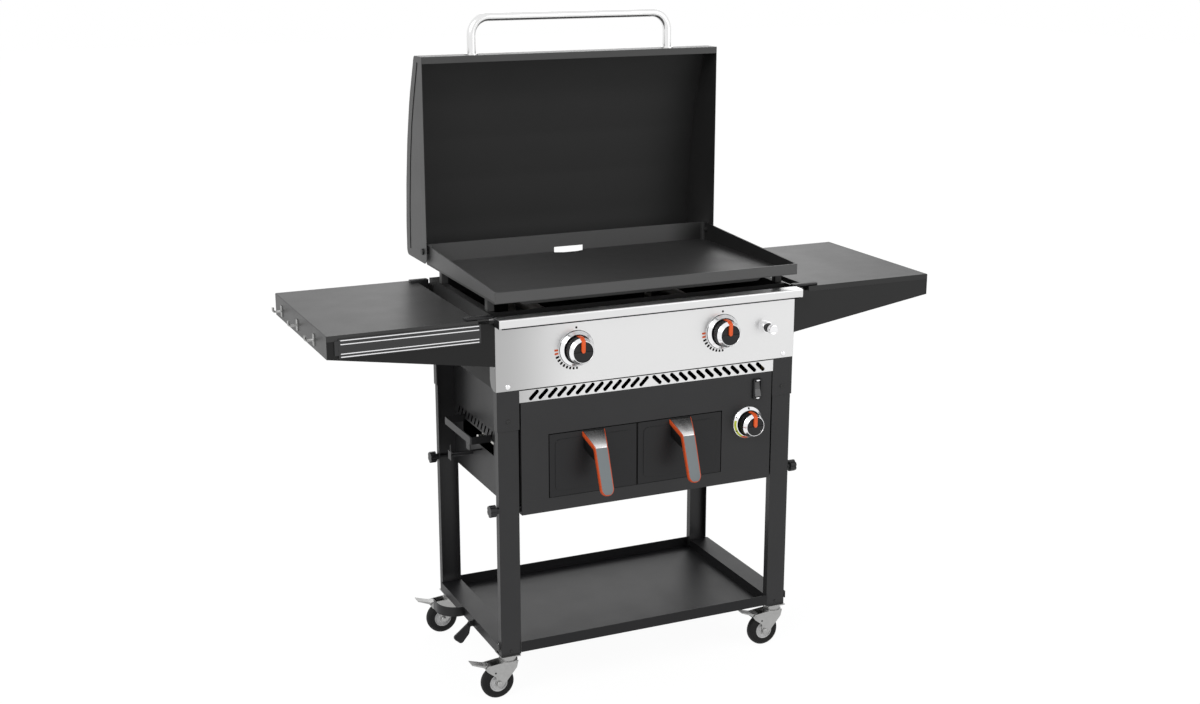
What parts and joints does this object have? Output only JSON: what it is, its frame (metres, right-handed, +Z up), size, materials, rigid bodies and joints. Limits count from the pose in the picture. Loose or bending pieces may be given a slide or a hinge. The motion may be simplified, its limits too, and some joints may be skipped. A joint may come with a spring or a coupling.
{
  "type": "outdoor gas griddle station",
  "caption": "Freestanding gas griddle with a hinged lid, side shelves, a basket fryer below the burners, a storage tray and swivelling casters with brakes.",
  "frame": {"origin": "centre of the footprint on the floor", "axes": "+X to the right of the person who cooks, +Y from the control panel to the back, +Z up"},
  "size_m": [1.438, 0.629, 1.444],
  "materials": {
    "bright_steel": "brushed stainless steel",
    "galvanised_box": "plain coated sheet steel",
    "charcoal_coat": "fine textured powder coat",
    "shelf_coat": "satin powder coat",
    "lid_coat": "satin powder coat",
    "plate_steel": "seasoned hot-rolled steel",
    "basket_coat": "smooth non-stick coat",
    "burner_steel": "dull steel tube",
    "brass_pipe": "turned brass",
    "chrome_ring": "bright chrome",
    "knob_black": "matt",
    "switch_black": "glossy",
    "zinc_parts": "zinc-plated",
    "tyre_rubber": "matt"
  },
  "bodies": {
    "frame": {"burner_box": "galvanised_box", "control_panel": "bright_steel", "front_lip": "bright_steel", "vent_strip": "bright_steel", "fryer_front_panel": "charcoal_coat", "fryer_base_pan": "charcoal_coat", "fryer_side_panels": "charcoal_coat", "fryer_rear_panel": "charcoal_coat", "fryer_chamber": "galvanised_box", "leg_stubs": "charcoal_coat", "lower_legs": "charcoal_coat", "lower_tray": "charcoal_coat", "burner_tubes": "burner_steel", "gas_manifold": "brass_pipe", "knob_bezels": "chrome_ring", "igniter_body": "chrome_ring", "switch_housing": "switch_black", "fan_motor": "zinc_parts", "tank_bracket": "zinc_parts", "tank_saddle": "knob_black", "caster_plates": "zinc_parts", "shelf_left": "shelf_coat", "shelf_right": "shelf_coat", "shelf_gussets": "charcoal_coat", "tool_hooks": "zinc_parts", "thumb_knobs": "knob_black", "frame_screws": "zinc_parts"},
    "plate": {"griddle_plate": "plate_steel", "plate_supports": "plate_steel", "hinge_bolts": "zinc_parts"},
    "lid": {"lid_shell": "lid_coat", "lid_side_panels": "lid_coat", "lid_handle": "bright_steel"},
    "left_valve_stem": {"left_stem": "burner_steel"},
    "right_valve_stem": {"right_stem": "burner_steel"},
    "fryer_valve_stem": {"fryer_stem": "burner_steel"},
    "left_burner_knob": {"left_knob": "knob_black"},
    "right_burner_knob": {"right_knob": "knob_black"},
    "fryer_control_knob": {"fryer_knob": "knob_black"},
    "igniter": {"igniter_button": "chrome_ring"},
    "rocker": {"power_rocker": "switch_black"},
    "left_drawer": {"basket_left": "basket_coat", "basket_left_handle": "bright_steel"},
    "right_drawer": {"basket_right": "basket_coat", "basket_right_handle": "bright_steel"},
    "lever": {"tank_lever": "switch_black"},
    "cup": {"grease_cup": "galvanised_box"},
    "fan": {"fan_wheel": "zinc_parts"},
    "front_left_swivel": {"front_left_fork": "zinc_parts"},
    "front_left_roller": {"front_left_wheel": "tyre_rubber"},
    "front_left_pedal": {"front_left_brake": "zinc_parts"},
    "front_right_swivel": {"front_right_fork": "zinc_parts"},
    "front_right_roller": {"front_right_wheel": "tyre_rubber"},
    "front_right_pedal": {"front_right_brake": "zinc_parts"},
    "rear_left_swivel": {"rear_left_fork": "zinc_parts"},
    "rear_left_roller": {"rear_left_wheel": "tyre_rubber"},
    "rear_left_pedal": {"rear_left_brake": "zinc_parts"},
    "rear_right_swivel": {"rear_right_fork": "zinc_parts"},
    "rear_right_roller": {"rear_right_wheel": "tyre_rubber"},
    "rear_right_pedal": {"rear_right_brake": "zinc_parts"}
  },
  "joints": [
    {"name": "plate_lift", "type": "slide", "parent": "frame", "child": "plate", "axis": [0, 0, 1], "range_m": [0, 0.05]},
    {"name": "lid_hinge", "type": "hinge", "parent": "plate", "child": "lid", "pos_m": [0.011, 0.1952, 0.9163], "axis": [1, 0, 0], "range_deg": [0, 87.6]},
    {"name": "left_knob_push", "type": "slide", "parent": "frame", "child": "left_valve_stem", "axis": [0, 1, 0], "range_m": [0, 0.004], "stiffness_N_per_m": 800},
    {"name": "left_knob_turn", "type": "hinge", "parent": "left_valve_stem", "child": "left_burner_knob", "pos_m": [-0.163, -0.2325, 0.773], "axis": [0, -1, 0], "range_deg": [0, 180]},
    {"name": "right_knob_push", "type": "slide", "parent": "frame", "child": "right_valve_stem", "axis": [0, 1, 0], "range_m": [0, 0.004], "stiffness_N_per_m": 800},
    {"name": "right_knob_turn", "type": "hinge", "parent": "right_valve_stem", "child": "right_burner_knob", "pos_m": [0.185, -0.2325, 0.773], "axis": [0, -1, 0], "range_deg": [0, 180]},
    {"name": "fryer_knob_push", "type": "slide", "parent": "frame", "child": "fryer_valve_stem", "axis": [0, 1, 0], "range_m": [0, 0.004], "stiffness_N_per_m": 800},
    {"name": "fryer_knob_turn", "type": "hinge", "parent": "fryer_valve_stem", "child": "fryer_control_knob", "pos_m": [0.2525, -0.2325, 0.557], "axis": [0, -1, 0], "range_deg": [0, 180]},
    {"name": "igniter_push", "type": "slide", "parent": "frame", "child": "igniter", "axis": [0, 1, 0], "range_m": [0, 0.005], "stiffness_N_per_m": 600},
    {"name": "switch_rock", "type": "hinge", "parent": "frame", "child": "rocker", "pos_m": [0.275, -0.2305, 0.632], "axis": [1, 0, 0], "range_deg": [0, 20]},
    {"name": "left_basket_slide", "type": "slide", "parent": "frame", "child": "left_drawer", "axis": [0, -1, 0], "range_m": [0, 0.3]},
    {"name": "right_basket_slide", "type": "slide", "parent": "frame", "child": "right_drawer", "axis": [0, -1, 0], "range_m": [0, 0.3]},
    {"name": "tank_lever_swing", "type": "hinge", "parent": "frame", "child": "lever", "pos_m": [-0.351, -0.0625, 0.114], "axis": [0, 1, 0], "range_deg": [0, 80]},
    {"name": "grease_cup_slide", "type": "slide", "parent": "frame", "child": "cup", "axis": [0, 1, 0], "range_m": [0, 0.07]},
    {"name": "fan_spin", "type": "hinge", "parent": "frame", "child": "fan", "pos_m": [-0.02, 0.0875, 0.522], "axis": [0, 1, 0], "continuous": true},
    {"name": "front_left_swivel_turn", "type": "hinge", "parent": "frame", "child": "front_left_swivel", "pos_m": [-0.32, -0.213, 0.09], "axis": [0, 0, 1], "continuous": true},
    {"name": "front_left_wheel_roll", "type": "hinge", "parent": "front_left_swivel", "child": "front_left_roller", "pos_m": [-0.346, -0.213, 0.037], "axis": [0, 1, 0], "continuous": true},
    {"name": "front_left_brake_press", "type": "hinge", "parent": "front_left_swivel", "child": "front_left_pedal", "pos_m": [-0.37, -0.213, 0.075], "axis": [0, -1, 0], "range_deg": [0, 20]},
    {"name": "front_right_swivel_turn", "type": "hinge", "parent": "frame", "child": "front_right_swivel", "pos_m": [0.342, -0.213, 0.09], "axis": [0, 0, 1], "continuous": true},
    {"name": "front_right_wheel_roll", "type": "hinge", "parent": "front_right_swivel", "child": "front_right_roller", "pos_m": [0.316, -0.213, 0.037], "axis": [0, 1, 0], "continuous": true},
    {"name": "front_right_brake_press", "type": "hinge", "parent": "front_right_swivel", "child": "front_right_pedal", "pos_m": [0.292, -0.213, 0.075], "axis": [0, -1, 0], "range_deg": [0, 20]},
    {"name": "rear_left_swivel_turn", "type": "hinge", "parent": "frame", "child": "rear_left_swivel", "pos_m": [-0.32, 0.159, 0.09], "axis": [0, 0, 1], "continuous": true},
    {"name": "rear_left_wheel_roll", "type": "hinge", "parent": "rear_left_swivel", "child": "rear_left_roller", "pos_m": [-0.346, 0.159, 0.037], "axis": [0, 1, 0], "continuous": true},
    {"name": "rear_left_brake_press", "type": "hinge", "parent": "rear_left_swivel", "child": "rear_left_pedal", "pos_m": [-0.37, 0.159, 0.075], "axis": [0, -1, 0], "range_deg": [0, 20]},
    {"name": "rear_right_swivel_turn", "type": "hinge", "parent": "frame", "child": "rear_right_swivel", "pos_m": [0.342, 0.159, 0.09], "axis": [0, 0, 1], "continuous": true},
    {"name": "rear_right_wheel_roll", "type": "hinge", "parent": "rear_right_swivel", "child": "rear_right_roller", "pos_m": [0.316, 0.159, 0.037], "axis": [0, 1, 0], "continuous": true},
    {"name": "rear_right_brake_press", "type": "hinge", "parent": "rear_right_swivel", "child": "rear_right_pedal", "pos_m": [0.292, 0.159, 0.075], "axis": [0, -1, 0], "range_deg": [0, 20]}
  ]
}
